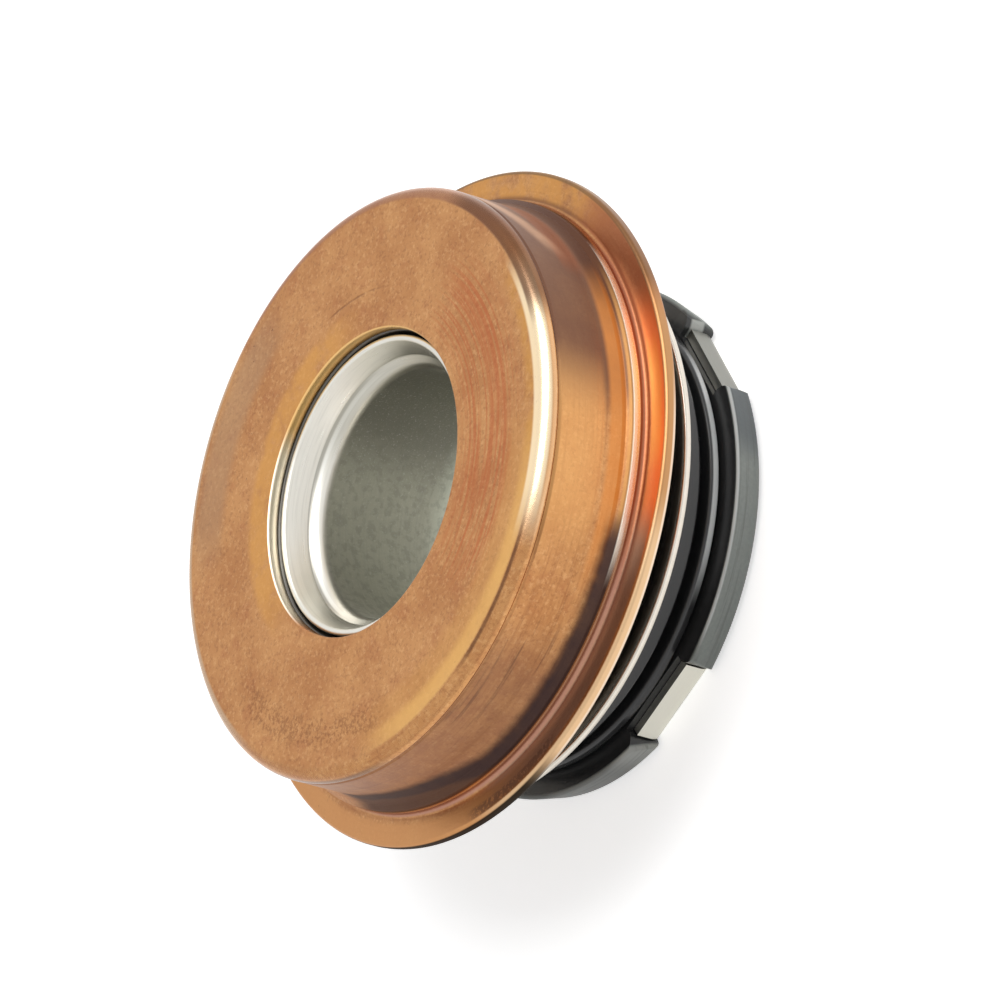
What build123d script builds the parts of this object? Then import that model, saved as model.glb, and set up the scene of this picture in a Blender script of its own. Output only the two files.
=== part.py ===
from build123d import *
import os

# Unitised shaft seal for a water pump. Millimetres, +Z along the shaft towards the closed front of the
# case, Z = 0 on the rear face of the sleeve, claws of the sleeve on the X and Y axes. Radii build up
# from the shaft outwards and heights from the rear face forwards, so each piece follows its neighbours.

# Shaft that the sleeve is pressed on
shaft_r = 8.0

# Sleeve: stainless sheet, drawn tube with a rear flange
sleeve_sheet = 0.6
sleeve_bend = 0.5
disc_margin = 1.0
lip_sink = 0.75
lip_round = 0.21
mouth_wall = 0.47
mouth_height = 1.5
mouth_step = 0.65
mouth_step_height = 0.7
mouth_flare = 0.6
mouth_round = 0.3
ridge_round = 1.1

# Claws, cut and bent from the sleeve flange
claw_count = 4
claw_width = 5.9
claw_reach = 1.05
claw_height = 2.05
claw_bend = 0.4
claw_fit = 0.05
claw_side_gap = 0.1

# Rubber cup and the hard ring in it
bore_clearance = 0.8
gasket_base = 0.8
gasket_wall = 1.65
gasket_lip_drop = 0.55
valley_depth = 0.6
valley_height = 0.12
bead_round = 0.3
rim_over_claw = 0.45
rim_wall = 1.2
rim_taper = 0.6
rim_lift = 0.25
rim_front_round = 0.22
rim_rear_round = 0.44
rim_end_round = 1.0
mating_width = 4.0
mating_height = 2.6

# Carbon seal ring
face_film = 0.05
nose_inset = 0.2
nose_width = 1.6
nose_height = 0.95
seal_inset = 1.0
seal_width = 3.0
seal_height = 4.25

# Rubber bellows
head_setback = 0.2
head_wall = 1.8
head_round = 0.25
head_back = 0.7
head_back_round = 0.5
neck_wall = 1.1
shoulder_wall = 1.0
head_shoulder_height = 1.25
bellows_wall = 1.0
bellows_inset = 1.2
fold_depth = 1.8
fold_inside_round = 0.5
fold_outside_round = 1.0
free_parts = 6
foot_height = 1.2
foot_fit = 0.05
foot_edge_gap = 0.2

# Spring and the steel rings
wire = 1.3
spring_inside_gap = 0.25
spring_outside_gap = 0.55
spring_length = 8.15
closed_turns = 0.75
closed_gap = 0.05
active_turns = 2.25
washer_sheet = 0.6
washer_bend = 0.3
plate_clearance = 0.2
plate_edge_round = 0.28
clamp_clearance = 0.5
clamp_collar = 1.6
retainer_edge_gap = 0.9
retainer_gap = 0.2
retainer_collar = 1.5

# Case: drawn copper-alloy sheet
case_sheet = 0.8
case_depth = 7.15
case_hole_round = 0.15
case_corner = 0.85
lip_gap = 0.16
flange_width = 2.7
flange_edge_round = 0.25
step_out = 0.62
step_height = 0.95
step_round = 0.3
step_inside_drop = 0.4
root_round = 0.3
flare_height = 1.5
flare_out = 0.28
flare_bend = 2.5
crease_gap = 0.02
crease_depth = 0.1
crease_width = 0.3

small_round = 0.1
round_share = 0.45

# Heights, from the rear face to the front
gasket_seat_z = sleeve_sheet
mating_seat_z = gasket_seat_z + gasket_base
mating_face_z = mating_seat_z + mating_height
seal_nose_z = mating_face_z + face_film
seal_back_z = seal_nose_z + seal_height
head_lip_z = seal_nose_z + head_setback
head_top_z = seal_back_z + head_back
plate_front_z = head_top_z - head_shoulder_height
plate_rear_z = plate_front_z - washer_sheet
clamp_rear_z = plate_front_z + spring_length
clamp_front_z = clamp_rear_z + washer_sheet
foot_rear_z = clamp_front_z + foot_fit
foot_front_z = foot_rear_z + foot_height
retainer_rear_z = foot_front_z + foot_fit
retainer_front_z = retainer_rear_z + washer_sheet
case_front_z = retainer_front_z + case_sheet
flange_front_z = case_front_z - case_depth
flange_rear_z = flange_front_z - case_sheet
rim_height = claw_height + rim_over_claw
lip_z = case_front_z - lip_sink
mouth_step_z = lip_z - mouth_height

# Radii, from the shaft outwards
sleeve_outer_r = shaft_r + sleeve_sheet
mouth_top_r = shaft_r + mouth_step + mouth_flare
lip_r = mouth_top_r + mouth_wall
case_hole_r = lip_r + lip_gap
seal_clear_r = sleeve_outer_r + bore_clearance
mating_outer_r = seal_clear_r + mating_width
disc_r = mating_outer_r + disc_margin
claw_r = disc_r + claw_reach
claw_seat_r = claw_r - sleeve_sheet - claw_fit
rim_front_r = claw_r + rim_wall
rim_rear_r = rim_front_r - rim_taper
seal_inner_r = seal_clear_r + seal_inset
nose_inner_r = seal_inner_r + nose_inset
nose_outer_r = nose_inner_r + nose_width
seal_outer_r = seal_inner_r + seal_width
neck_r = seal_outer_r + neck_wall
head_shoulder_r = neck_r + shoulder_wall
bellows_r = seal_outer_r - bellows_inset
fold_r = bellows_r + fold_depth
clamp_inner_r = bellows_r + bellows_wall + clamp_clearance
spring_mean_r = head_shoulder_r + spring_inside_gap + wire / 2
collar_inner_r = spring_mean_r + wire / 2 + spring_outside_gap
case_bore_r = collar_inner_r + washer_sheet
plate_r = case_bore_r - plate_clearance
foot_outer_r = collar_inner_r - foot_edge_gap
retainer_outer_r = case_bore_r - retainer_edge_gap
housing_r = case_bore_r + case_sheet
flange_r = housing_r + flange_width


def limited(corner, wall):
    """Edge round, held back where the wall it lies on is too thin for it."""
    return min(corner, wall * round_share)


def section(corners):
    """Closed outline in the XZ plane from (radius, height, corner radius) triples."""
    points = [(radius, height) for radius, height, _ in corners]
    rounds = [corner for _, _, corner in corners]
    return make_face(Plane.XZ * FilletPolyline(*points, radius=rounds, close=True))


def turned(corners):
    """Ring that has this section all round the shaft axis."""
    return revolve(section(corners), Axis.Z)


def flare_outside(height):
    """Outside radius of the sleeve's flare at a height."""
    return lip_r - mouth_flare * (lip_z - height) / mouth_height


def make_case():
    """Drawn cup with a rounded hole edge, a fine crease under the corner, a step and a flange."""
    step_r = housing_r + step_out
    step_z = flange_front_z + step_height
    crease_z = case_front_z - case_corner - crease_gap - crease_width / 2
    outside = [
        (case_hole_r, case_front_z, case_hole_round),
        (housing_r, case_front_z, case_corner),
        (housing_r, crease_z + crease_width / 2, 0),
        (housing_r - crease_depth, crease_z, small_round),
        (housing_r, crease_z - crease_width / 2, 0),
        (housing_r, step_z + flare_height, flare_bend),
        (housing_r + flare_out, step_z + (step_out - flare_out), small_round),
        (step_r, step_z, limited(step_round, step_out)),
        (step_r, flange_front_z, root_round),
        (flange_r, flange_front_z, limited(flange_edge_round, case_sheet)),
    ]
    inside = [
        (flange_r, flange_rear_z, limited(flange_edge_round, case_sheet)),
        (step_r - case_sheet, flange_rear_z, root_round + case_sheet),
        (step_r - case_sheet, step_z - step_inside_drop, case_sheet),
        (case_bore_r, step_z + flare_height, case_sheet),
        (case_bore_r, retainer_front_z, max(case_corner - case_sheet, small_round)),
        (case_hole_r, retainer_front_z, small_round),
    ]
    return turned(outside + inside)


def make_sleeve():
    """Tube with a flared mouth, a rear flange and bent claws, all one sheet."""
    step_z = mouth_step_z - mouth_step_height
    step_outer_r = flare_outside(mouth_step_z)
    lip_edge = limited(lip_round, mouth_wall)
    tube = turned(
        [
            (shaft_r, 0, sleeve_bend + sleeve_sheet),
            (shaft_r, step_z, ridge_round),
            (shaft_r + mouth_step, mouth_step_z, mouth_round),
            (mouth_top_r, lip_z, lip_edge),
            (lip_r, lip_z, lip_edge),
            (step_outer_r, mouth_step_z, mouth_round),
            (sleeve_outer_r, step_z, mouth_round),
            (sleeve_outer_r, sleeve_sheet, sleeve_bend),
            (disc_r, sleeve_sheet, 0),
            (disc_r, 0, 0),
        ]
    )
    claw_outline = section(
        [
            (disc_r - sleeve_sheet, 0, 0),
            (claw_r, 0, claw_bend + sleeve_sheet),
            (claw_r, claw_height, small_round),
            (claw_r - sleeve_sheet, claw_height, small_round),
            (claw_r - sleeve_sheet, sleeve_sheet, claw_bend),
            (disc_r - sleeve_sheet, sleeve_sheet, 0),
        ]
    )
    claw = extrude(claw_outline, claw_width / 2, both=True)
    return tube + PolarLocations(0, claw_count) * claw


def make_cup_gasket():
    """Rubber cup: base on the sleeve flange, wall with a bead, rim notched for the claws."""
    cup_r = mating_outer_r + gasket_wall
    valley_r = cup_r - valley_depth
    bead_rear_z = rim_height + valley_height
    lip_top_z = mating_face_z - gasket_lip_drop
    rim_inner_r = disc_r + claw_fit
    bead = limited(bead_round, lip_top_z - bead_rear_z)
    valley_round = limited(small_round, valley_height)
    cup = turned(
        [
            (seal_clear_r, gasket_seat_z, 0),
            (rim_inner_r, gasket_seat_z, 0),
            (rim_inner_r, rim_lift, 0),
            (rim_rear_r, rim_lift, rim_rear_round),
            (rim_front_r, rim_height, rim_front_round),
            (valley_r, rim_height, valley_round),
            (valley_r, bead_rear_z, valley_round),
            (cup_r, bead_rear_z, bead),
            (cup_r, lip_top_z, bead),
            (mating_outer_r, lip_top_z, 0),
            (mating_outer_r, mating_seat_z, 0),
            (seal_clear_r, mating_seat_z, 0),
        ]
    )
    notch_outline = section(
        [
            (disc_r - sleeve_sheet, -rim_height, 0),
            (rim_front_r + gasket_wall, -rim_height, 0),
            (rim_front_r + gasket_wall, rim_height, 0),
            (claw_seat_r, rim_height, 0),
            (claw_seat_r, gasket_seat_z, claw_bend),
            (disc_r - sleeve_sheet, gasket_seat_z, 0),
        ]
    )
    notch_width = claw_width + 2 * claw_side_gap
    notch = extrude(notch_outline, notch_width / 2, both=True)
    # Seen along the axis, the rim's segments have rounded outer corners beside the notches.
    gap = Pos(rim_front_r, 0) * Rectangle(2 * (rim_front_r - claw_seat_r), notch_width)
    rim_plan = Circle(rim_front_r) - PolarLocations(0, claw_count) * gap
    corners = [corner for corner in rim_plan.vertices() if corner.center().length > rim_front_r - small_round]
    rim_plan = fillet(corners, rim_end_round)
    around = extrude(Circle(rim_front_r + gasket_wall) - rim_plan, rim_height)
    return cup - PolarLocations(0, claw_count) * notch - around


def make_mating_ring():
    """Hard ring, lapped front face, seated in the rubber cup."""
    return turned(
        [
            (seal_clear_r, mating_seat_z, 0),
            (mating_outer_r, mating_seat_z, 0),
            (mating_outer_r, mating_face_z, 0),
            (seal_clear_r, mating_face_z, 0),
        ]
    )


def make_seal_ring():
    """Carbon ring with a narrow lapped nose, held in the bellows head."""
    nose_base_z = seal_nose_z + nose_height
    return turned(
        [
            (nose_inner_r, seal_nose_z, 0),
            (nose_outer_r, seal_nose_z, 0),
            (nose_outer_r, nose_base_z, 0),
            (seal_outer_r, nose_base_z, 0),
            (seal_outer_r, seal_back_z, 0),
            (seal_inner_r, seal_back_z, 0),
            (seal_inner_r, nose_base_z, 0),
        ]
    )


def make_bellows():
    """Rubber head round the carbon with a neck for the spring plate, one fold and a clamped foot."""
    head_r = seal_outer_r + head_wall
    outer_r = bellows_r + bellows_wall
    crest_r = fold_r + bellows_wall
    back_round = limited(head_back_round, head_shoulder_height)
    # Between head and foot: a straight run, the fold's slope, crest and slope, and a straight run.
    part = (clamp_rear_z - head_top_z) / free_parts
    fold_start_z = head_top_z + part
    fold_end_z = clamp_rear_z - part
    crest_start_z = (fold_start_z + fold_end_z - part) / 2
    crest_end_z = crest_start_z + part
    outside = [
        (head_r, head_lip_z, head_round),
        (head_r, plate_rear_z, 0),
        (neck_r, plate_rear_z, 0),
        (neck_r, plate_front_z, 0),
        (head_shoulder_r, plate_front_z, 0),
        (head_shoulder_r, head_top_z, back_round),
        (outer_r, head_top_z, back_round),
        (outer_r, fold_start_z, fold_outside_round),
        (crest_r, crest_start_z, limited(fold_outside_round, 2 * part)),
        (crest_r, crest_end_z, limited(fold_outside_round, 2 * part)),
        (outer_r, fold_end_z, fold_outside_round),
        (outer_r, foot_rear_z, fold_inside_round),
        (foot_outer_r, foot_rear_z, 0),
        (foot_outer_r, foot_front_z, 0),
    ]
    inside = [
        (bellows_r, foot_front_z, 0),
        (bellows_r, fold_end_z, fold_inside_round),
        (fold_r, crest_end_z, fold_inside_round),
        (fold_r, crest_start_z, fold_inside_round),
        (bellows_r, fold_start_z, fold_inside_round),
        (bellows_r, seal_back_z, 0),
        (seal_outer_r, seal_back_z, 0),
        (seal_outer_r, head_lip_z, 0),
    ]
    return turned(outside + inside)


def make_spring_plate():
    """Flat steel ring in the bellows neck, outer edge tumbled round."""
    return turned(
        [
            (neck_r, plate_rear_z, 0),
            (plate_r, plate_rear_z, limited(plate_edge_round, washer_sheet)),
            (plate_r, plate_front_z, limited(plate_edge_round, washer_sheet)),
            (neck_r, plate_front_z, 0),
        ]
    )


def make_coil_spring():
    """Round-wire spring, end coils closed and ground flat on the plate and on the clamp ring."""
    closed_rise = (wire + closed_gap) * closed_turns
    active_rise = spring_length - 2 * closed_rise
    coils = [
        (closed_rise, closed_turns),
        (active_rise, active_turns),
        (closed_rise, closed_turns),
    ]
    height = 0
    turns = 0
    edges = []
    for rise, count in coils:
        turn_start = Pos(0, 0, plate_front_z + height) * Rot(0, 0, 360 * turns)
        edges += (turn_start * Helix(rise / count, rise, spring_mean_r)).edges()
        height += rise
        turns += count
    path = Wire(edges)
    coil = sweep(Plane(origin=path @ 0, z_dir=path % 0) * Circle(wire / 2), path=path)
    ground = Pos(0, 0, plate_front_z) * Cylinder(
        housing_r, spring_length, align=(Align.CENTER, Align.CENTER, Align.MIN)
    )
    return coil & ground


def make_clamp_ring():
    """Steel ring with a collar pressed in the case, clamps the bellows foot and seats the spring."""
    return turned(
        [
            (clamp_inner_r, clamp_rear_z, 0),
            (collar_inner_r, clamp_rear_z, washer_bend),
            (collar_inner_r, clamp_front_z - clamp_collar, 0),
            (case_bore_r, clamp_front_z - clamp_collar, 0),
            (case_bore_r, clamp_front_z, washer_bend + washer_sheet),
            (clamp_inner_r, clamp_front_z, 0),
        ]
    )


def make_retaining_ring():
    """Steel ring against the case front, its cone faces the sleeve's flare and stops it pulling out."""
    cone_end_z = retainer_rear_z - retainer_collar
    cone_end_r = flare_outside(cone_end_z) + retainer_gap
    cone_top_r = flare_outside(retainer_front_z) + retainer_gap
    cone_rear_r = flare_outside(retainer_rear_z) + retainer_gap
    return turned(
        [
            (retainer_outer_r, retainer_front_z, 0),
            (retainer_outer_r, retainer_rear_z, 0),
            (cone_rear_r + washer_sheet, retainer_rear_z, 0),
            (cone_end_r + washer_sheet, cone_end_z, 0),
            (cone_end_r, cone_end_z, 0),
            (cone_top_r, retainer_front_z, washer_bend),
        ]
    )


pieces = {
    "case": make_case,
    "sleeve": make_sleeve,
    "cup_gasket": make_cup_gasket,
    "mating_ring": make_mating_ring,
    "seal_ring": make_seal_ring,
    "bellows": make_bellows,
    "spring_plate": make_spring_plate,
    "coil_spring": make_coil_spring,
    "clamp_ring": make_clamp_ring,
    "retaining_ring": make_retaining_ring,
}

os.makedirs("parts", exist_ok=True)
for name, make in pieces.items():
    export_step(make(), f"parts/{name}.step")
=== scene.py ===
import math

import bmesh
import bpy
from mathutils import Matrix, Vector


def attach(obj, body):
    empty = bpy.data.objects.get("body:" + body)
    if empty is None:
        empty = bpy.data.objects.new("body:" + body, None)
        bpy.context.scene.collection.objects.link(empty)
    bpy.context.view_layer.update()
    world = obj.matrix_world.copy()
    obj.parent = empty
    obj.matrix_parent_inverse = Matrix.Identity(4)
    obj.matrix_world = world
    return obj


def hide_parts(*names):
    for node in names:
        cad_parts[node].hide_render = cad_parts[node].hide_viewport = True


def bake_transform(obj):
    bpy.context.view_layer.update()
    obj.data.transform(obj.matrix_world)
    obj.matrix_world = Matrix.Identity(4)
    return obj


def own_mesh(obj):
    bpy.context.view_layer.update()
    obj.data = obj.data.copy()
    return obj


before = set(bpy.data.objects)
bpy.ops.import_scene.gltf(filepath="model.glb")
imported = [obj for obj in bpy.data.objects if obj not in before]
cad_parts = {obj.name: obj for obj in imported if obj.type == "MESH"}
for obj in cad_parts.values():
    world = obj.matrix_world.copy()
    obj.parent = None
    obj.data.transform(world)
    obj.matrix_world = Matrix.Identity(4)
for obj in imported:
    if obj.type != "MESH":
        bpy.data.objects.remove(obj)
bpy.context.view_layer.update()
bpy.ops.object.select_all(action="DESELECT")

# Sleeve: the tube that is pressed on the shaft, with a flared mouth, a rear flange and claws. It is
# drawn from one stainless sheet, so mouth, bore, flange and claws are one piece of metal. The four
# claws are bent up from the flange and hold the rubber cup.
mm = 0.001
same_place = 1e-7
shaft_r = 8.0
sheet = 0.6
lip_r = 9.72
lip_z = 18.45
lip_round = 0.21
mouth_top_r = 9.25
mouth_foot_r = shaft_r + 0.65
mouth_foot_z = 16.95
step_z = 16.25
bore_round = 1.1
fold_round = 0.3
flange_round = 0.5
disc_r = 14.4
claw_r = 15.45
claw_height = 2.05
claw_width = 5.9
claw_bend = 1.0
claw_count = 4
claw_ease = 0.06
turning_steps = 288
bend_parts = 8


def drawn_line(name, places):
    """Starts a piece as a line of points, and leaves it in edit mode."""
    bpy.ops.mesh.primitive_plane_add(size=mm)
    piece = bpy.context.object
    piece.name = name
    bpy.ops.object.mode_set(mode="EDIT")
    bpy.ops.mesh.merge(type="CENTER")
    bpy.ops.transform.translate(value=places[0])
    for last, place in zip(places, places[1:]):
        bpy.ops.mesh.extrude_vertices_move(TRANSFORM_OT_translate={"value": place - last})
    return piece


def pick_points(piece, wanted):
    """Selects, in edit mode, the points for which wanted(point) is true, and no others."""
    mesh = bmesh.from_edit_mesh(piece.data)
    mesh.verts.ensure_lookup_table()
    for point in mesh.verts:
        point.select = wanted(point)
    mesh.select_flush_mode()
    bmesh.update_edit_mesh(piece.data)


def turned(name, corners, steps=turning_steps):
    """Ring turned about Z from its section, given as (radius, height, round) in millimetres."""
    places = [Vector((radius * mm, 0, height * mm)) for radius, height, _ in corners]
    piece = drawn_line(name, places)
    pick_points(piece, lambda point: point.index in (0, len(places) - 1))
    bpy.ops.mesh.edge_face_add()
    for index, (place, corner) in enumerate(zip(places, corners)):
        if not corner[2]:
            continue
        before = places[index - 1] - place
        after = places[(index + 1) % len(places)] - place
        reach = corner[2] * mm / math.tan(before.angle(after) / 2)
        pick_points(piece, lambda point: (point.co - place).length < same_place)
        bpy.ops.mesh.bevel(
            offset=reach,
            segments=bend_parts,
            affect="VERTICES",
            clamp_overlap=False,
        )
    bpy.ops.mesh.select_all(action="SELECT")
    bpy.ops.mesh.spin(steps=steps, angle=2 * math.pi, center=(0, 0, 0), axis=(0, 0, 1))
    bpy.ops.mesh.select_all(action="SELECT")
    bpy.ops.mesh.remove_doubles(threshold=same_place)
    bpy.ops.mesh.normals_make_consistent(inside=False)
    bpy.ops.object.mode_set(mode="OBJECT")
    return piece


def smoothed(piece, degrees=32):
    """Smooth shading that leaves flat faces flat beside their rounded edges."""
    bpy.context.view_layer.objects.active = piece
    piece.select_set(True)
    bpy.ops.object.shade_smooth_by_angle(angle=math.radians(degrees))
    weighted = piece.modifiers.new("flat_faces", "WEIGHTED_NORMAL")
    weighted.keep_sharp = True
    bpy.ops.object.modifier_apply(modifier=weighted.name)
    bpy.ops.object.select_all(action="DESELECT")


def combined(piece, others, operation):
    """Joins other shapes to a piece, or cuts them out of it."""
    for other in others:
        cut = piece.modifiers.new("with_" + other.name, "BOOLEAN")
        cut.operation = operation
        cut.object = other
        cut.solver = "EXACT"
        bpy.context.view_layer.objects.active = piece
        bpy.ops.object.modifier_apply(modifier=cut.name)
    for other in others:
        bpy.data.objects.remove(other)


def bent_strip(name, outline, width):
    """Strip of this width along Y from its side outline, given as (radius, height) corners."""
    near_side = -width / 2 * mm
    strip = drawn_line(name, [Vector((r * mm, near_side, z * mm)) for r, z in outline])
    bpy.ops.mesh.select_all(action="SELECT")
    bpy.ops.mesh.edge_face_add()
    bpy.ops.mesh.extrude_region_move(TRANSFORM_OT_translate={"value": (0, width * mm, 0)})
    bpy.ops.mesh.select_all(action="SELECT")
    bpy.ops.mesh.normals_make_consistent(inside=False)
    bpy.ops.object.mode_set(mode="OBJECT")
    return strip


def bend(center_r, center_z, radius, start, stop):
    """Points of a bend, from one angle to the other, in degrees."""
    shares = [part / bend_parts for part in range(bend_parts + 1)]
    turns = [math.radians(start + (stop - start) * share) for share in shares]
    return [(center_r + radius * math.cos(a), center_z + radius * math.sin(a)) for a in turns]


def copies_round(piece, count):
    """The piece and its copies, evenly spaced about Z, each with its own mesh."""
    made = [piece]
    for number in range(1, count):
        bpy.ops.object.select_all(action="DESELECT")
        piece.select_set(True)
        bpy.context.view_layer.objects.active = piece
        bpy.ops.object.duplicate(linked=False)
        copy = bpy.context.object
        copy.data.transform(Matrix.Rotation(2 * math.pi * number / count, 4, "Z"))
        made.append(copy)
    bpy.ops.object.select_all(action="DESELECT")
    return made


def eased_edges(piece, width):
    """Takes the sharpness off the edges that turn by more than 50 degrees."""
    bpy.context.view_layer.objects.active = piece
    edges = piece.modifiers.new("edges", "BEVEL")
    edges.width = width * mm
    edges.segments = 3
    edges.limit_method = "ANGLE"
    edges.angle_limit = math.radians(50)
    bpy.ops.object.modifier_apply(modifier=edges.name)


sleeve = turned(
    "sleeve_tube",
    [
        (shaft_r, 0, bore_round),
        (shaft_r, step_z, bore_round),
        (mouth_foot_r, mouth_foot_z, fold_round),
        (mouth_top_r, lip_z, lip_round),
        (lip_r, lip_z, lip_round),
        (lip_r - sheet, mouth_foot_z, fold_round),
        (shaft_r + sheet, step_z, fold_round),
        (shaft_r + sheet, sheet, flange_round),
        (disc_r, sheet, 0),
        (disc_r, 0, 0),
    ],
)
claw = bent_strip(
    "claw",
    [(disc_r - sheet, 0)]
    + bend(claw_r - claw_bend, claw_bend, claw_bend, -90, 0)
    + [(claw_r, claw_height), (claw_r - sheet, claw_height)]
    + bend(claw_r - claw_bend, claw_bend, claw_bend - sheet, 0, -90)
    + [(disc_r - sheet, sheet)],
    claw_width,
)
combined(sleeve, copies_round(claw, claw_count), "UNION")
eased_edges(sleeve, claw_ease)
smoothed(sleeve)


class Signal:
    """A socket of a material. Sums on signals add Math nodes, and node() adds any other kind."""

    def __init__(self, tree, socket):
        self.tree = tree
        self.socket = socket

    def node(self, kind, sockets, output=0, **settings):
        """Adds a node, sets it up, then gives its sockets their values or links."""
        added = self.tree.nodes.new("ShaderNode" + kind)
        for name, setting in settings.items():
            setattr(added, name, setting)
        for name, value in sockets.items():
            if isinstance(value, Signal):
                self.tree.links.new(value.socket, added.inputs[name])
            else:
                added.inputs[name].default_value = value
        return Signal(self.tree, added.outputs[output])

    def out(self, output):
        """Another output of the same node."""
        return Signal(self.tree, self.socket.node.outputs[output])

    def math(self, operation, *values):
        return self.node("Math", dict(enumerate(values)), operation=operation)

    def __add__(self, other):
        return self.math("ADD", self, other)

    def __radd__(self, other):
        return self.math("ADD", other, self)

    def __sub__(self, other):
        return self.math("SUBTRACT", self, other)

    def __rsub__(self, other):
        return self.math("SUBTRACT", other, self)

    def __mul__(self, other):
        return self.math("MULTIPLY", self, other)

    def __rmul__(self, other):
        return self.math("MULTIPLY", other, self)

    def __truediv__(self, other):
        return self.math("DIVIDE", self, other)

    def __rtruediv__(self, other):
        return self.math("DIVIDE", other, self)

    def __pow__(self, other):
        return self.math("POWER", self, other)

    def __rpow__(self, other):
        return self.math("POWER", other, self)

    def __abs__(self):
        return self.math("ABSOLUTE", self)


def color(red, green, blue):
    """A colour given as 0 to 255 on a screen, in the renderer's linear scale."""
    parts = [value / 255 for value in (red, green, blue)]
    linear = [p / 12.92 if p <= 0.04045 else ((p + 0.055) / 1.055) ** 2.4 for p in parts]
    return (*linear, 1)


class Finish:
    """A material being made, with places on the piece in millimetres and round its axis."""

    def __init__(self, name, metallic):
        self.material = bpy.data.materials.new(name)
        self.material.use_nodes = True
        tree = self.material.node_tree
        self.shader = tree.nodes["Principled BSDF"]
        self.shader.inputs["Metallic"].default_value = metallic
        start = tree.nodes.new("ShaderNodeTexCoord")
        meters = Signal(tree, start.outputs["Object"])
        self.place = meters.node("VectorMath", {0: meters, "Scale": 1 / mm}, operation="SCALE")
        self.x = self.place.node("SeparateXYZ", {0: self.place})
        self.y = self.x.out(1)
        self.z = self.x.out(2)
        self.radius = (self.x * self.x + self.y * self.y) ** 0.5
        self.base = None

    def step(self, value, low, high):
        """0 below low, 1 above high, smooth between. The other way round if low is the larger."""
        limits = {"Value": value, "From Min": low, "From Max": high}
        return value.node("MapRange", limits, interpolation_type="SMOOTHSTEP")

    def band(self, value, middle, half, soft):
        """1 within half of the middle, fading to 0 over soft."""
        return self.step(abs(value - middle), half + soft, half)

    def by_radius(self, low, high):
        """0 at the low radius and 1 at the high one, in millimetres from the axis."""
        return self.step(self.radius, low, high)

    def by_height(self, low, high):
        """0 at the low height and 1 at the high one, in millimetres along the axis."""
        return self.step(self.z, low, high)

    def at_radius(self, middle, half, soft):
        """1 in a ring at this radius."""
        return self.band(self.radius, middle, half, soft)

    def at_height(self, middle, half, soft):
        """1 in a belt at this height."""
        return self.band(self.z, middle, half, soft)

    def side(self, angle, half, soft):
        """1 on the side of the axis that faces this angle, in degrees, within half of it."""
        turn = math.radians(angle)
        not_zero = self.radius + 0.001
        facing = (self.x * math.cos(turn) + self.y * math.sin(turn)) / not_zero
        near = math.cos(math.radians(half))
        far = math.cos(math.radians(min(half + soft, 179)))
        return self.step(facing, far, near)

    def noise(self, scale, detail=3.0, place=None, seed=0.0, rough=0.55):
        """Cloudy noise from 0 to 1, with this many features to the millimetre."""
        values = {"Vector": place or self.place, "W": seed, "Scale": scale, "Detail": detail}
        values["Roughness"] = rough
        return self.place.node("TexNoise", values, noise_dimensions="4D")

    def rings(self, scale, seed=0.0):
        """Fine turning marks: quick across the piece, and slow round the axis."""
        around = self.place.node("VectorMath", {0: self.place, "Scale": 0.06}, operation="SCALE")
        turned = around.node("SeparateXYZ", {0: around})
        values = {"X": self.radius + self.z * 0.83, "Y": self.z - self.radius * 0.31, "Z": turned}
        return self.noise(scale, 4.0, self.place.node("CombineXYZ", values), seed)

    def mix(self, share, first, second):
        """First colour where share is 0, second where it is 1."""
        return self.place.node("Mix", {0: share, 6: first, 7: second}, 2, data_type="RGBA")

    def ground(self, share, first, second):
        """Starts the colour as a mixture of two."""
        self.base = self.mix(share, first, second)

    def paint(self, share, over):
        """Lays another colour over the colour so far, as thick as share says."""
        self.base = self.mix(share, self.base, over)

    def wear(self, height, rough, depth):
        """Links the finished colour, roughness and bump height to the shader."""
        tree = self.material.node_tree
        tree.links.new(self.base.socket, self.shader.inputs["Base Color"])
        tree.links.new(rough.socket, self.shader.inputs["Roughness"])
        bump = {"Height": height, "Strength": 1.0, "Distance": depth * mm}
        tree.links.new(height.node("Bump", bump).socket, self.shader.inputs["Normal"])
        return self.material


def finish_piece(piece, material, body, *nodes):
    """Gives a new piece its material and its body, and hides the CAD nodes that it stands for."""
    piece.data.materials.clear()
    piece.data.materials.append(material)
    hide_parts(*nodes)
    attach(piece, body)


steel = Finish("stainless", 1.0)
grain = steel.rings(5.0)
cloud = steel.noise(0.5)
fine = steel.noise(7.0, 3.0, rough=0.7)
mouth = steel.by_height(16.0, 16.4) * steel.by_radius(11.0, 10.0)
bore = steel.by_height(16.3, 15.8) * steel.by_radius(8.5, 8.15)
steel.ground(cloud, color(214, 213, 204), color(198, 197, 188))
steel.paint(mouth * 0.8, color(234, 231, 222))
# painted shade and a painted highlight, as two thin lines along the fold at the mouth's foot on one
# side
fold = steel.side(135, 50, 24) * steel.by_radius(9.3, 9.1)
steel.paint(fold * steel.at_height(16.92, 0.05, 0.08) * 0.6, color(112, 108, 98))
steel.paint(fold * steel.at_height(16.7, 0.04, 0.08) * 0.6, color(252, 252, 246))
steel.paint(bore, color(182, 180, 166))
# painted shade on the upper side of the bore, and painted light deep in it, as if lit through its
# rear opening
steel.paint(bore * steel.side(56, 30, 40) * 0.7, color(106, 102, 95))
steel.paint(bore * steel.by_height(9.0, 6.5) * 0.75, color(218, 222, 208))
dull = steel.step(steel.noise(2.2, 4.0, seed=6.0), 0.45, 0.62)
steel.paint(bore * dull * 0.3, color(132, 130, 120))
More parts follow.
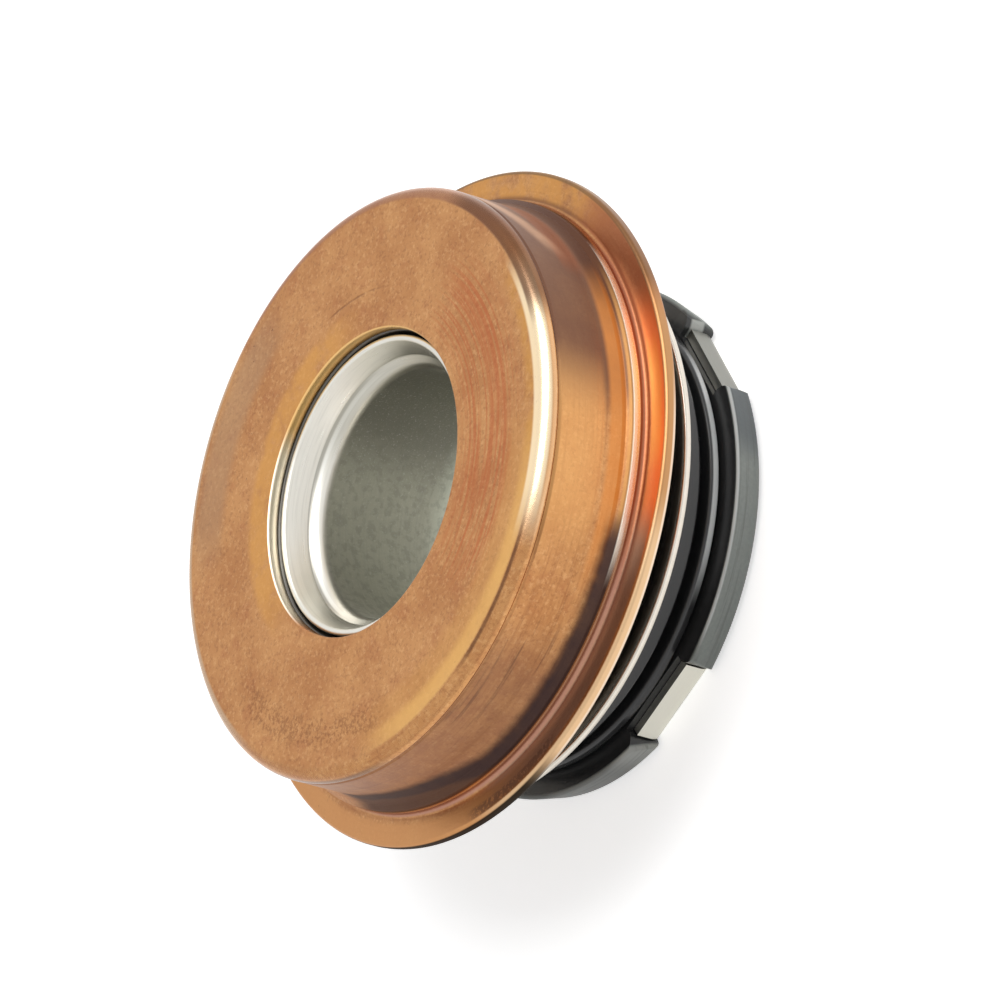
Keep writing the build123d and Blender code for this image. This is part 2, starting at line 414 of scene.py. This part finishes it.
# painted shade under the mouth, on one side
mouth_shade = steel.side(52, 44, 30) * steel.at_height(16.55, 0.35, 0.3)
mouth_shade = mouth_shade * steel.by_radius(9.3, 9.1)
steel.paint(mouth_shade * 0.6, color(168, 164, 150))
steel.paint(bore * steel.step(fine, 0.55, 0.7) * 0.4, color(214, 214, 204))
steel.paint(steel.step(grain, 0.45, 0.75) * 0.22, color(150, 150, 144))
claws = steel.by_radius(15.2, 15.4)
# painted shade on the claw at 0 degrees and a painted highlight on the claw at -90 degrees
steel.paint(claws * steel.side(0, 30, 20) * 0.85, color(134, 135, 130))
steel.paint(claws * steel.side(-90, 30, 20) * 0.85, color(220, 218, 206))
rough = 0.24 + grain * 0.1 + bore * 0.25 + steel.by_radius(14.5, 15.0) * 0.1
height = grain * 0.4 + fine * 0.8 * bore + cloud * 0.4
finish_piece(sleeve, steel.wear(height, rough, 0.012), "rotor", "sleeve")

# Cup gasket: the rubber cup between the sleeve's flange and the hard ring. It is moulded in one
# piece, with a bead round its wall and a thick rim that is notched where the claws grip it.
clearance = 0.05
mating_r = 13.4
cup_hole_r = 9.4
cup_r = 15.05
cup_floor_z = 1.4
cup_top_z = 3.45
cup_round = 0.3
valley_r = 14.45
bead_z = 2.62
rim_front_r = 16.65
rim_rear_r = 16.05
rim_z = 2.5
rim_rear_z = 0.25
rim_rear_round = 0.44
rim_front_round = 0.22
rim_end_round = 1.0
valley_round = 0.05
rubber_ease = 0.16
gasket = turned(
    "rubber_cup",
    [
        (cup_hole_r, sheet, 0),
        (disc_r + clearance, sheet, 0),
        (disc_r + clearance, rim_rear_z, 0),
        (rim_rear_r, rim_rear_z, rim_rear_round),
        (rim_front_r, rim_z, rim_front_round),
        (valley_r, rim_z, valley_round),
        (valley_r, bead_z, valley_round),
        (cup_r, bead_z, cup_round),
        (cup_r, cup_top_z, cup_round),
        (mating_r, cup_top_z, 0),
        (mating_r, cup_floor_z, 0),
        (cup_hole_r, cup_floor_z, 0),
    ],
)
# the notches end a little over the rim, so that they leave no skin of rubber on it
seat_r = claw_r - sheet - clearance
notch_room = 0.1
over_rim = 0.06
notch_side = claw_width / 2 + notch_room
notch_z = rim_z + over_rim
below_z = -1
notch = bent_strip(
    "notch",
    [(disc_r - sheet, below_z), (seat_r + clearance, below_z), (seat_r + clearance, notch_z)]
    + [(seat_r, notch_z), (seat_r, sheet), (disc_r - sheet, sheet)],
    2 * notch_side,
)
combined(gasket, copies_round(notch, claw_count), "DIFFERENCE")
# the rim's segments are rounded beside the notches, seen along the axis
past_rim_r = 19
round_y = notch_side + rim_end_round
round_x = math.sqrt((rim_front_r - rim_end_round) ** 2 - round_y**2)
round_stop = math.degrees(math.atan2(round_y, round_x))
one_side = [(seat_r, notch_side)] + bend(round_x, round_y, rim_end_round, -90, round_stop)
outward = math.radians(round_stop)
one_side.append((past_rim_r * math.cos(outward), past_rim_r * math.sin(outward)))
other_side = [(x, -y) for x, y in reversed(one_side)]
notch = bent_strip("rim_end", one_side + other_side, 2 * notch_z)
notch.data.transform(Matrix.Rotation(math.pi / 2, 4, "X"))
combined(gasket, copies_round(notch, claw_count), "DIFFERENCE")
eased_edges(gasket, rubber_ease)
smoothed(gasket)

rubber = Finish("black_rubber", 0.0)
cloud = rubber.noise(0.6)
dust = rubber.noise(4.0, 5.0, seed=3.0)
drag = rubber.rings(2.4)
rim_slope = 0.267
rim_foot_r = rubber.radius - rubber.z * rim_slope
rim_level = rubber.by_height(2.7, 2.5)
rim = rubber.step(rim_foot_r, 15.6, 15.85) * rim_level
rubber.ground(cloud, color(42, 43, 45), color(54, 54, 55))
# the rim is painted mottled light grey, partly dust and partly a painted reflection on its grazing
# outer face; it is painted lighter as a highlight on one side and darker as painted shade on two
# others, bluish on one
rubber.paint(rim * (0.62 + dust * 0.3), color(158, 165, 160))
rubber.paint(rim * rubber.side(-114, 12, 10) * 0.7, color(204, 206, 202))
rubber.paint(rim * rubber.side(-16, 6, 10) * 0.7, color(66, 76, 84))
rubber.paint(rim * rubber.step(drag, 0.5, 0.7) * 0.4, color(84, 86, 84))
rubber.paint(rim * rubber.side(-130, 16, 10) * 0.6, color(66, 68, 68))
# a painted highlight along the rim's front edge, on one side
rim_edge_highlight = rubber.at_radius(16.5, 0.05, 0.07) * rubber.by_height(2.3, 2.4)
rim_edge_highlight = rim_edge_highlight * rubber.side(-36, 30, 10)
rubber.paint(rim_edge_highlight * 0.85, color(226, 231, 230))
# a painted highlight on the bead, on one side
bead = rubber.by_radius(14.8, 15.0) * rubber.at_height(3.0, 0.14, 0.12)
bead = bead * rubber.side(-30, 17, 20)
rubber.paint(bead * 0.95, color(240, 244, 244))
# painted shade beside the rim's ends at the notches, and a painted highlight on their end faces
rim_end = rubber.step(rubber.x, 14.6, 14.9) * rim_level
inner = rubber.step(rim_foot_r, 15.95, 15.75)
rubber.paint(rim_end * inner * rubber.band(rubber.y, 3.6, 0.5, 0.3) * 0.8, color(58, 60, 60))
rim_end = rim_end * rubber.band(rubber.y, 3.2, 0.2, 0.1) * rubber.at_height(1.6, 0.4, 0.2)
rubber.paint(rim_end * 0.85, color(214, 219, 214))
rough = 0.2 + cloud * 0.1 + rim * 0.25
height = dust * 0.5 + cloud * 0.5
black_rubber = rubber.wear(height, rough, 0.02)
finish_piece(gasket, black_rubber, "rotor", "cup_gasket")

# Hard ring and carbon ring: the two sealing faces. The hard ring is held by the rubber cup and is
# lapped to a mirror, and the carbon ring's narrow nose runs on it. Both are pressed and fired.
lapped = Finish("hard_ring", 0.0)
lapped.ground(lapped.noise(1.4), color(52, 52, 58), color(40, 40, 45))
rough = 0.1 + lapped.rings(3.0) * 0.1
material = lapped.wear(lapped.noise(6.0), rough, 0.002)
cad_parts["mating_ring"].material_slots[0].material = material

carbon = Finish("carbon", 0.0)
carbon.ground(carbon.noise(2.0), color(58, 58, 60), color(72, 72, 74))
rough = 0.42 + carbon.noise(5.0) * 0.2
material = carbon.wear(carbon.rings(4.0) + carbon.noise(8.0), rough, 0.006)
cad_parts["seal_ring"].material_slots[0].material = material

# Bellows: the rubber head that carries the carbon ring, the fold that lets it move, and the foot
# that is clamped in the case. It is moulded in one piece, and its neck holds the spring plate.
head_r = 15.2
head_front_r = 15.5
head_rear_z = 4.25
head_top_z = 9.0
seal_back_z = 8.3
neck_r = 14.5
plate_rear_z = 7.15
plate_front_z = 7.75
wall_out_r = 13.2
wall_in_r = 12.2
fold_out_r = 15.0
fold_in_r = 14.0
fold_foot_z = 10.15
fold_rear_z = 11.875
fold_front_z = 13.025
fold_top_z = 14.75
foot_r = 17.4
foot_rear_z = 16.55
foot_front_z = 17.75
head_rear_round = 0.25
outer_round = 1.0
inner_round = 0.5
bellows = turned(
    "rubber_bellows",
    [
        (head_r, head_rear_z, head_rear_round),
        (head_r, plate_rear_z, 0),
        (neck_r, plate_rear_z, 0),
        (neck_r, plate_front_z, 0),
        (head_front_r, plate_front_z, 0),
        (head_front_r, head_top_z, inner_round),
        (wall_out_r, head_top_z, inner_round),
        (wall_out_r, fold_foot_z, outer_round),
        (fold_out_r, fold_rear_z, outer_round),
        (fold_out_r, fold_front_z, outer_round),
        (wall_out_r, fold_top_z, outer_round),
        (wall_out_r, foot_rear_z, inner_round),
        (foot_r, foot_rear_z, 0),
        (foot_r, foot_front_z, 0),
        (wall_in_r, foot_front_z, 0),
        (wall_in_r, fold_top_z, inner_round),
        (fold_in_r, fold_front_z, inner_round),
        (fold_in_r, fold_rear_z, inner_round),
        (wall_in_r, fold_foot_z, inner_round),
        (wall_in_r, seal_back_z, 0),
        (mating_r, seal_back_z, 0),
        (mating_r, head_rear_z, 0),
    ],
)
smoothed(bellows)
bellows.data.materials.clear()
bellows.data.materials.append(black_rubber)
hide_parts("bellows")
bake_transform(bellows)

# Spring plate: a flat steel washer in the neck of the bellows, which the spring presses on. It is
# stamped and tumbled, so that its outer edge is round and bright.
plate_r = 18.0
plate_round = 0.27
plate = turned(
    "steel_plate",
    [
        (neck_r, plate_rear_z, 0),
        (plate_r, plate_rear_z, plate_round),
        (plate_r, plate_front_z, plate_round),
        (neck_r, plate_front_z, 0),
    ],
)
smoothed(plate)
bright = Finish("bright_steel", 1.0)
cloud = bright.noise(0.8)
bright.ground(cloud, color(222, 215, 204), color(200, 193, 181))
rough = 0.18 + bright.rings(4.0) * 0.12
bright_steel = bright.wear(cloud, rough, 0.006)
finish_piece(plate, bright_steel, "seal_head", "spring_plate")

# Coil spring: round wire between the plate and the clamp ring, with its end turns closed and
# ground flat. It is wound cold from hard steel wire and left dark.
wire = 1.3
mean_r = 16.4
spring_z = plate_front_z
spring_length = 8.15
closed_turns = 0.75
active_turns = 2.25
turn_gap = 0.05
closed_rise = (wire + turn_gap) * closed_turns
active_rise = spring_length - 2 * closed_rise
points_per_turn = 48
all_turns = 2 * closed_turns + active_turns


def wire_height(turn):
    """Height of the wire's middle over the plate, after this many turns."""
    if turn < closed_turns:
        return closed_rise * turn / closed_turns
    if turn > closed_turns + active_turns:
        return spring_length - closed_rise * (all_turns - turn) / closed_turns
    return closed_rise + active_rise * (turn - closed_turns) / active_turns


bpy.ops.curve.primitive_nurbs_path_add(radius=mm)
spring = bpy.context.object
spring.name = "spring_coil"
spring.data.splines.clear()
spline = spring.data.splines.new("POLY")
count = round(all_turns * points_per_turn) + 1
spline.points.add(count - 1)
for number, point in enumerate(spline.points):
    turn = number / points_per_turn
    angle = 2 * math.pi * turn
    middle = (mean_r * math.cos(angle), mean_r * math.sin(angle), spring_z + wire_height(turn))
    point.co = (*[value * mm for value in middle], 1)
spring.data.bevel_depth = wire / 2 * mm
spring.data.bevel_resolution = 6
spring.data.use_fill_caps = True
bpy.ops.object.convert(target="MESH")
bpy.ops.object.mode_set(mode="EDIT")
for ground_z, outer in ((spring_z, False), (spring_z + spring_length, True)):
    bpy.ops.mesh.select_all(action="SELECT")
    bpy.ops.mesh.bisect(
        plane_co=(0, 0, ground_z * mm),
        plane_no=(0, 0, 1),
        use_fill=True,
        clear_inner=not outer,
        clear_outer=outer,
    )
bpy.ops.mesh.select_all(action="SELECT")
bpy.ops.mesh.normals_make_consistent(inside=False)
bpy.ops.mesh.dissolve_degenerate(threshold=same_place)
bpy.ops.object.mode_set(mode="OBJECT")
spring.data.validate()
smoothed(spring, 40)
coil = Finish("spring_wire", 1.0)
coil.ground(coil.noise(1.5), color(116, 112, 106), color(86, 84, 80))
rough = 0.32 + coil.noise(4.0) * 0.15
spring_wire = coil.wear(coil.noise(6.0), rough, 0.01)
finish_piece(spring, spring_wire, "housing", "coil_spring")
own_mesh(spring)

# Clamp ring and retaining ring: two stamped steel rings inside the case. The first holds the foot
# of the bellows and seats the spring, and the second, darker one keeps the flare of the sleeve.
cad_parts["clamp_ring"].material_slots[0].material = bright_steel
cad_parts["retaining_ring"].material_slots[0].material = spring_wire

# Case: the copper-coloured cup that is pressed in the pump, with a flange that seats on its face.
# It is drawn from one sheet, so it has a soft front corner, a small step before the flange and
# turning marks, and it has darkened unevenly in stock. Its colour also holds painted highlights,
# painted shade and painted reflections.
case_sheet = 0.8
case_front_z = 19.2
hole_r = 9.88
hole_round = 0.15
corner_round = 0.85
wall_r = 19.0
groove_z = 18.18
groove_depth = 0.1
groove_half = 0.15
fine_round = 0.1
flare_z = 14.5
flare_round = 2.5
ridge_foot_r = 19.28
ridge_foot_z = 13.34
ridge_z = 13.0
ridge_round = 0.279
step_r = 19.62
step_round = 0.3
flange_r = 21.7
flange_edge_round = 0.25
flange_front_z = 12.05
flange_rear_z = flange_front_z - case_sheet
case_in_r = wall_r - case_sheet
step_in_r = step_r - case_sheet
step_in_z = 12.6
in_round = 0.8
case_turning_steps = 360
case = turned(
    "copper_case",
    [
        (hole_r, case_front_z, hole_round),
        (wall_r, case_front_z, corner_round),
        (wall_r, groove_z + groove_half, 0),
        (wall_r - groove_depth, groove_z, fine_round),
        (wall_r, groove_z - groove_half, 0),
        (wall_r, flare_z, flare_round),
        (ridge_foot_r, ridge_foot_z, fine_round),
        (step_r, ridge_z, ridge_round),
        (step_r, flange_front_z, step_round),
        (flange_r, flange_front_z, flange_edge_round),
        (flange_r, flange_rear_z, flange_edge_round),
        (step_in_r, flange_rear_z, step_round + case_sheet),
        (step_in_r, step_in_z, in_round),
        (case_in_r, flare_z, in_round),
        (case_in_r, case_front_z - case_sheet, fine_round),
        (hole_r, case_front_z - case_sheet, fine_round),
    ],
    case_turning_steps,
)
smoothed(case)

copper = Finish("case_copper", 1.0)
cloud = copper.noise(0.25, 4.0)
patch = copper.noise(0.8, 5.0, seed=7.0)
salt = copper.noise(3.4, 4.0, seed=3.0, rough=0.7)
pepper = copper.noise(4.4, 4.0, seed=12.0, rough=0.7)
speck = copper.noise(3.2, 3.0, seed=2.0)
fine = copper.noise(9.0, 3.0, seed=5.0)
lines = copper.rings(3.5)
on_face = copper.by_height(18.9, 19.1) * copper.by_radius(18.35, 18.1)
on_corner = copper.by_radius(18.05, 18.25) * copper.by_height(18.28, 18.36)
on_wall = copper.by_radius(18.7, 18.95) * copper.by_height(12.6, 12.75)
on_wall = on_wall * copper.by_height(18.34, 18.26)
on_ridge = copper.by_radius(19.35, 19.5) * copper.by_height(13.02, 12.9)
on_ridge = on_ridge * copper.by_height(12.4, 12.5)
on_step = copper.by_radius(19.4, 19.55) * copper.by_height(12.5, 12.4)
on_step = on_step * copper.by_radius(19.85, 19.7)
on_flange = copper.by_radius(19.7, 19.85)
copper.ground(copper.step(cloud, 0.35, 0.65), color(196, 144, 94), color(180, 126, 80))
copper.paint(copper.step(patch, 0.48, 0.7) * 0.45, color(170, 110, 72))
copper.paint(copper.step(salt, 0.5, 0.64) * 0.38, color(222, 174, 122))
copper.paint(copper.step(pepper, 0.5, 0.64) * 0.38, color(138, 90, 60))
turning = copper.by_radius(18.2, 18.5) * copper.step(lines, 0.46, 0.66)
copper.paint(turning * 0.35, color(150, 98, 64))

# face: golden round the hole as a painted reflection, golden along the edge as painted highlights,
# red turning marks on one side of the hole, and painted highlights on the hole's rounded edge
gold = copper.at_radius(10.8, 0.7, 0.8) * copper.side(125, 44, 26) * on_face
copper.paint(gold * copper.step(patch + pepper * 0.4, 0.45, 0.8) * 0.65, color(214, 158, 84))
red = copper.at_radius(13.3, 1.6, 1.8) * copper.side(-30, 34, 20) * on_face
copper.paint(red * copper.step(lines, 0.42, 0.62) * 0.55, color(180, 92, 52))
edge = copper.at_radius(17.8, 0.35, 0.9) * on_face
# painted highlights along the face's edge, beside the corner's painted highlight
face_edge_highlight = edge * copper.side(-28, 18, 14) * copper.step(patch, 0.35, 0.6)
copper.paint(face_edge_highlight * 0.6, color(204, 150, 72))
copper.paint(edge * copper.side(-80, 26, 18) * (0.35 + patch * 0.6), color(230, 182, 108))
inside = copper.at_radius(16.5, 0.5, 1.2) * copper.side(-78, 30, 20) * on_face
copper.paint(inside * 0.3, color(212, 160, 92))
grey = copper.at_radius(16.4, 0.8, 1.2) * copper.side(120, 16, 18) * on_face
copper.paint(grey * 0.45, color(170, 138, 108))
spots = copper.step(pepper, 0.45, 0.55) * copper.at_radius(15.9, 0.5, 0.8)
spots = spots * copper.side(-143, 22, 10) * on_face
copper.paint(spots * 0.4, color(132, 84, 52))
hole_wall = copper.by_radius(10.0, 9.93)
# painted highlights on the hole's rounded edge, on two sides
copper.paint(hole_wall * copper.side(90, 60, 20) * 0.8, color(246, 206, 140))
copper.paint(hole_wall * copper.side(154, 30, 16) * 0.9, color(252, 244, 226))

# front corner: a painted highlight on one side, then brown, pale and darkly lined round its edge
corner_highlight = copper.by_radius(17.6, 17.85) * copper.by_height(18.38, 18.46)
corner_highlight = corner_highlight * copper.side(-30, 17, 16)
copper.paint(corner_highlight * 0.88, color(246, 226, 190))
copper.paint(corner_highlight * copper.by_height(18.78, 18.62) * 0.85, color(198, 146, 98))
copper.paint(on_corner * copper.side(52, 36, 16) * 0.65, color(158, 108, 84))
copper.paint(on_corner * copper.side(6, 15, 10) * 0.85, color(112, 74, 52))
copper.paint(on_corner * copper.side(150, 34, 16) * 0.7, color(196, 170, 142))
low_corner = on_corner * copper.by_height(18.8, 18.6)
copper.paint(low_corner * copper.side(-150, 26, 12) * 0.7, color(92, 66, 50))
shade = on_corner * copper.at_radius(18.42, 0.05, 0.14) * copper.side(-73, 10, 8)
copper.paint(shade * (0.35 + patch * 0.8), color(100, 66, 48))
# painted shade in the groove behind the corner
crease_shade = copper.at_height(18.17, 0.1, 0.1) * copper.by_radius(18.7, 18.8)
crease_shade = crease_shade * copper.side(-20, 34, 14)
copper.paint(crease_shade * 0.9, color(98, 58, 36))

# wall: purple-brown on one side, tan beside it, brown and scuffed on the other, with a painted
# highlight line below the corner and painted orange reflections of the flange before the step
upper = copper.side(10, 36, 11) * on_wall
copper.paint(upper * (0.75 + cloud * 0.3), color(112, 80, 64))
deep = copper.side(14, 22, 12) * copper.at_height(13.3, 0.6, 0.6) * on_wall
copper.paint(deep * 0.75, color(82, 48, 32))
flame = copper.side(14, 9, 9) * copper.at_height(15.1, 0.5, 0.5) * on_wall
copper.paint(flame * 0.6, color(150, 88, 56))
sheen = copper.side(24, 14, 9) * copper.band(copper.z - copper.y * 0.3, 15.4, 0.15, 0.9) * on_wall
copper.paint(sheen * (0.35 + patch * 0.6), color(204, 162, 130))
tan = copper.side(-42, 8, 14) * copper.by_height(14.4, 15.0) * on_wall
copper.paint(tan * 0.5, color(222, 168, 106))
below = copper.side(-114, 24, 18) * on_wall
copper.paint(below * (0.3 + patch * 0.6), color(134, 94, 72))
# the first two bands are painted orange reflections of the flange in the flare before the step
stripe = copper.side(-34, 17, 20) * (0.75 + patch * 0.4) * on_wall
copper.paint(stripe * copper.at_height(13.9, 0.25, 0.4) * 0.7, color(214, 140, 74))
copper.paint(stripe * copper.at_height(13.45, 0.07, 0.12) * 0.7, color(192, 110, 40))
copper.paint(stripe * copper.at_height(13.0, 0.14, 0.1) * 0.8, color(180, 132, 80))
scuff = copper.step(copper.rings(1.6, 9.0), 0.58, 0.68) * copper.side(-112, 30, 18) * on_wall
copper.paint(scuff * 0.5, color(92, 64, 54))

# blue-black stain in front of the step, wider towards one side
stain_top = 13.75 + copper.side(-150, 8, 40) * 1.5 + (patch - 0.5) * 0.5
stain = copper.step(stain_top - copper.z, -0.35, 0.4) * copper.side(-100, 42, 8) * on_wall
copper.paint(stain * 0.88, color(84, 60, 50))
core = copper.band(stain_top - copper.z, 0.75, 0.25, 0.35) * (0.5 + patch * 0.6)
copper.paint(stain * core * 0.7, color(46, 41, 48))

# ridge and step: a painted cream highlight on one side, a thin painted highlight line beside it,
# and painted brown shade at the root
copper.paint(on_ridge * copper.side(-28, 26, 12) * 0.95, color(254, 246, 232))
ridge_highlight_line = copper.at_height(12.52, 0.03, 0.07) * copper.side(-96, 38, 10)
copper.paint(ridge_highlight_line * 0.85, color(238, 206, 176))
copper.paint(on_step * copper.side(-30, 30, 14) * 0.85, color(164, 100, 76))
copper.paint(on_step * copper.side(-104, 36, 14) * 0.8, color(176, 130, 114))

# flange: gold, brown and plum round it, with a painted orange reflection on one side, painted shade
# at its root, painted highlights and shade round its outer edge, and painted shadow under it
back = on_flange * copper.side(46, 30, 14)
copper.paint(back * copper.step(patch, 0.35, 0.6) * 0.6, color(214, 154, 78))
# painted shade at the root on this side
copper.paint(back * copper.by_radius(20.2, 19.8) * 0.7, color(104, 66, 52))
brown = on_flange * copper.side(-3, 13, 12)
copper.paint(brown * 0.75, color(164, 98, 66))
# a painted orange reflection of the wall on the flange, brightest in its middle
flange_reflection = on_flange * copper.side(-34, 16, 12) * copper.by_radius(20.0, 20.3)
copper.paint(flange_reflection * 0.9, color(218, 124, 72))
reflection_core = on_flange * copper.side(-31, 5, 9) * copper.at_radius(20.7, 0.3, 0.4)
copper.paint(reflection_core * 0.8, color(212, 146, 74))
# painted shade at the flange's root
root_shade = on_flange * copper.side(-34, 30, 16) * copper.by_radius(20.2, 19.95)
copper.paint(root_shade * 0.85, color(128, 72, 48))
plum = on_flange * copper.side(-82, 24, 10) * copper.by_radius(21.4, 21.15)
copper.paint(plum * 0.9, color(160, 130, 114))
flush = on_flange * copper.side(-146, 28, 24) * copper.by_radius(20.1, 20.4)
copper.paint(flush * (0.55 + patch * 0.5), color(200, 144, 92))
scar = on_flange * copper.side(-105, 9, 5) * copper.at_radius(21.1, 0.25, 0.2)
scar = scar * copper.step(salt, 0.4, 0.5)
copper.paint(scar * 0.6, color(104, 80, 68))
outside = copper.by_radius(21.4, 21.5)
# the outer edge is painted darker on the upper side as shade, and lighter on the lower right as
# highlights
copper.paint(outside * copper.side(34, 40, 12) * 0.7, color(112, 88, 60))
copper.paint(outside * copper.side(-40, 22, 12) * 0.85, color(172, 136, 94))
copper.paint(outside * copper.side(-82, 24, 12) * 0.85, color(216, 182, 142))
# a painted highlight line along the rear of the outer edge
rear_edge_highlight = outside * copper.at_height(11.42, 0.06, 0.1) * copper.side(-72, 34, 14)
copper.paint(rear_edge_highlight * 0.8, color(232, 212, 190))
# painted shadow under the outer edge, on the lower side
edge_shadow = outside * copper.by_height(11.98, 11.86) * copper.side(-146, 42, 12)
copper.paint(edge_shadow * 0.95, color(18, 14, 11))

# specks, nicks and faint scratches
pits = copper.step(speck, 0.68, 0.73) * (0.35 + copper.side(98, 22, 20) * 0.65)
pits = pits * (on_face + on_flange)
copper.paint(pits * 0.6, color(92, 58, 38))
arc = copper.at_radius(12.6, 0.04, 0.06) * copper.side(58, 12, 6)
arc = arc * copper.step(patch, 0.42, 0.55) * on_face
copper.paint(arc * 0.5, color(120, 78, 50))
rough = 0.3 + on_face * 0.1 + on_wall * 0.12 - on_corner * 0.08 - on_ridge * 0.1
rough = rough + fine * 0.1 + stain * 0.1 + edge_shadow * 0.4
height = lines * 0.35 + fine * 0.25 + salt * 0.25 - pits * 0.9 - arc * 0.5 - scuff * 0.4
finish_piece(case, copper.wear(height, rough, 0.02), "housing", "case")

# Floor: a plain pale sheet under the seal. It looks white, also in the metal that mirrors it, and
# keeps the seal's shadow.
floor_size = 3
floor_white = 0.61


def seen_share(tree):
    """1 for what is seen directly, in a gloss or through glass, 0 for what lights the seal."""
    rays = tree.nodes.new("ShaderNodeLightPath")
    seen = Signal(tree, rays.outputs["Is Camera Ray"])
    return seen + seen.out("Is Glossy Ray") + seen.out("Is Transmission Ray")


bpy.ops.mesh.primitive_plane_add(size=floor_size)
floor = bpy.context.object
floor.name = "floor"
floor_material = bpy.data.materials.new("floor")
floor_material.use_nodes = True
tree = floor_material.node_tree
shader = tree.nodes["Principled BSDF"]
shader.inputs["Base Color"].default_value = (0.9, 0.9, 0.9, 1)
shader.inputs["Roughness"].default_value = 0.9
shader.inputs["Emission Color"].default_value = (1, 1, 1, 1)
white = seen_share(tree) * floor_white
tree.links.new(white.socket, shader.inputs["Emission Strength"])
floor.data.materials.append(floor_material)

# Room: white all round where it is seen, and dimmer where it only lights the seal, so that the
# lamps still shape it.
room_light = 0.35
world = bpy.data.worlds.new("room")
bpy.context.scene.world = world
world.use_nodes = True
tree = world.node_tree
background = tree.nodes["Background"]
background.inputs["Color"].default_value = (1, 1, 1, 1)
room_strength = room_light + seen_share(tree) * (1 - room_light)
tree.links.new(room_strength.socket, background.inputs["Strength"])

# Camera: a long lens that looks at the case's face from one side. The seal's axis is given by how
# far it points to the right and up in the view, and the claws by their turn about that axis.
axis_right = -0.798
axis_up = 0.225
seal_axis = Vector((axis_right, axis_up, math.sqrt(1 - axis_right**2 - axis_up**2)))
right = Vector((0, 1, 0)).cross(seal_axis).normalized()
above = seal_axis.cross(right)
claw_turn = math.radians(50)
claw_x = right * math.cos(claw_turn) + above * math.sin(claw_turn)
claw_y = above * math.cos(claw_turn) - right * math.sin(claw_turn)
to_object = Matrix((claw_x, claw_y, seal_axis))
distance = 0.6
sensor_width = 36
pixels_per_mm = 15.996
view_middle = (500, 498)
seal_middle = (462.2, 509.9)
seal_middle_z = 11.35
shift_x = (seal_middle[0] - view_middle[0]) / pixels_per_mm * mm
shift_y = (view_middle[1] - seal_middle[1]) / pixels_per_mm * mm
eye = Vector((0, 0, seal_middle_z * mm)) + to_object @ Vector((-shift_x, -shift_y, distance))
bpy.ops.object.camera_add()
camera = bpy.context.object
camera.matrix_world = Matrix.Translation(eye) @ to_object.to_4x4()
camera.data.sensor_width = sensor_width
# the view is 1000 pixels wide, which cancels the 1000 millimetres in a metre
camera.data.lens = pixels_per_mm * distance * sensor_width
camera.data.clip_start = 0.01
camera.data.clip_end = 10
bpy.context.scene.camera = camera

# Lamps: a large soft one from the upper left of the camera, and a narrow one from its right that
# puts a light line along the turned edges.
lamp_distance = 0.5


def lamp(name, direction, width, tall, power):
    """Soft lamp, in a direction given by the camera's right, up and back."""
    bpy.ops.object.light_add(type="AREA")
    light = bpy.context.object
    light.name = name
    light.data.shape = "RECTANGLE"
    toward = (to_object @ Vector(direction)).normalized()
    across = (to_object @ Vector((0, 1, 0))).cross(toward).normalized()
    turn = Matrix((across, toward.cross(across), toward)).transposed().to_4x4()
    target = Vector((0, 0, seal_middle_z * mm))
    light.matrix_world = Matrix.Translation(target + toward * lamp_distance) @ turn
    light.data.size = width
    light.data.size_y = tall
    light.data.energy = power


lamp("key", (-0.45, 0.68, 0.58), width=0.4, tall=0.45, power=1.7)
lamp("side", (0.915, 0.38, 0.135), width=0.06, tall=0.3, power=0.6)
bpy.context.scene.view_settings.view_transform = "Standard"
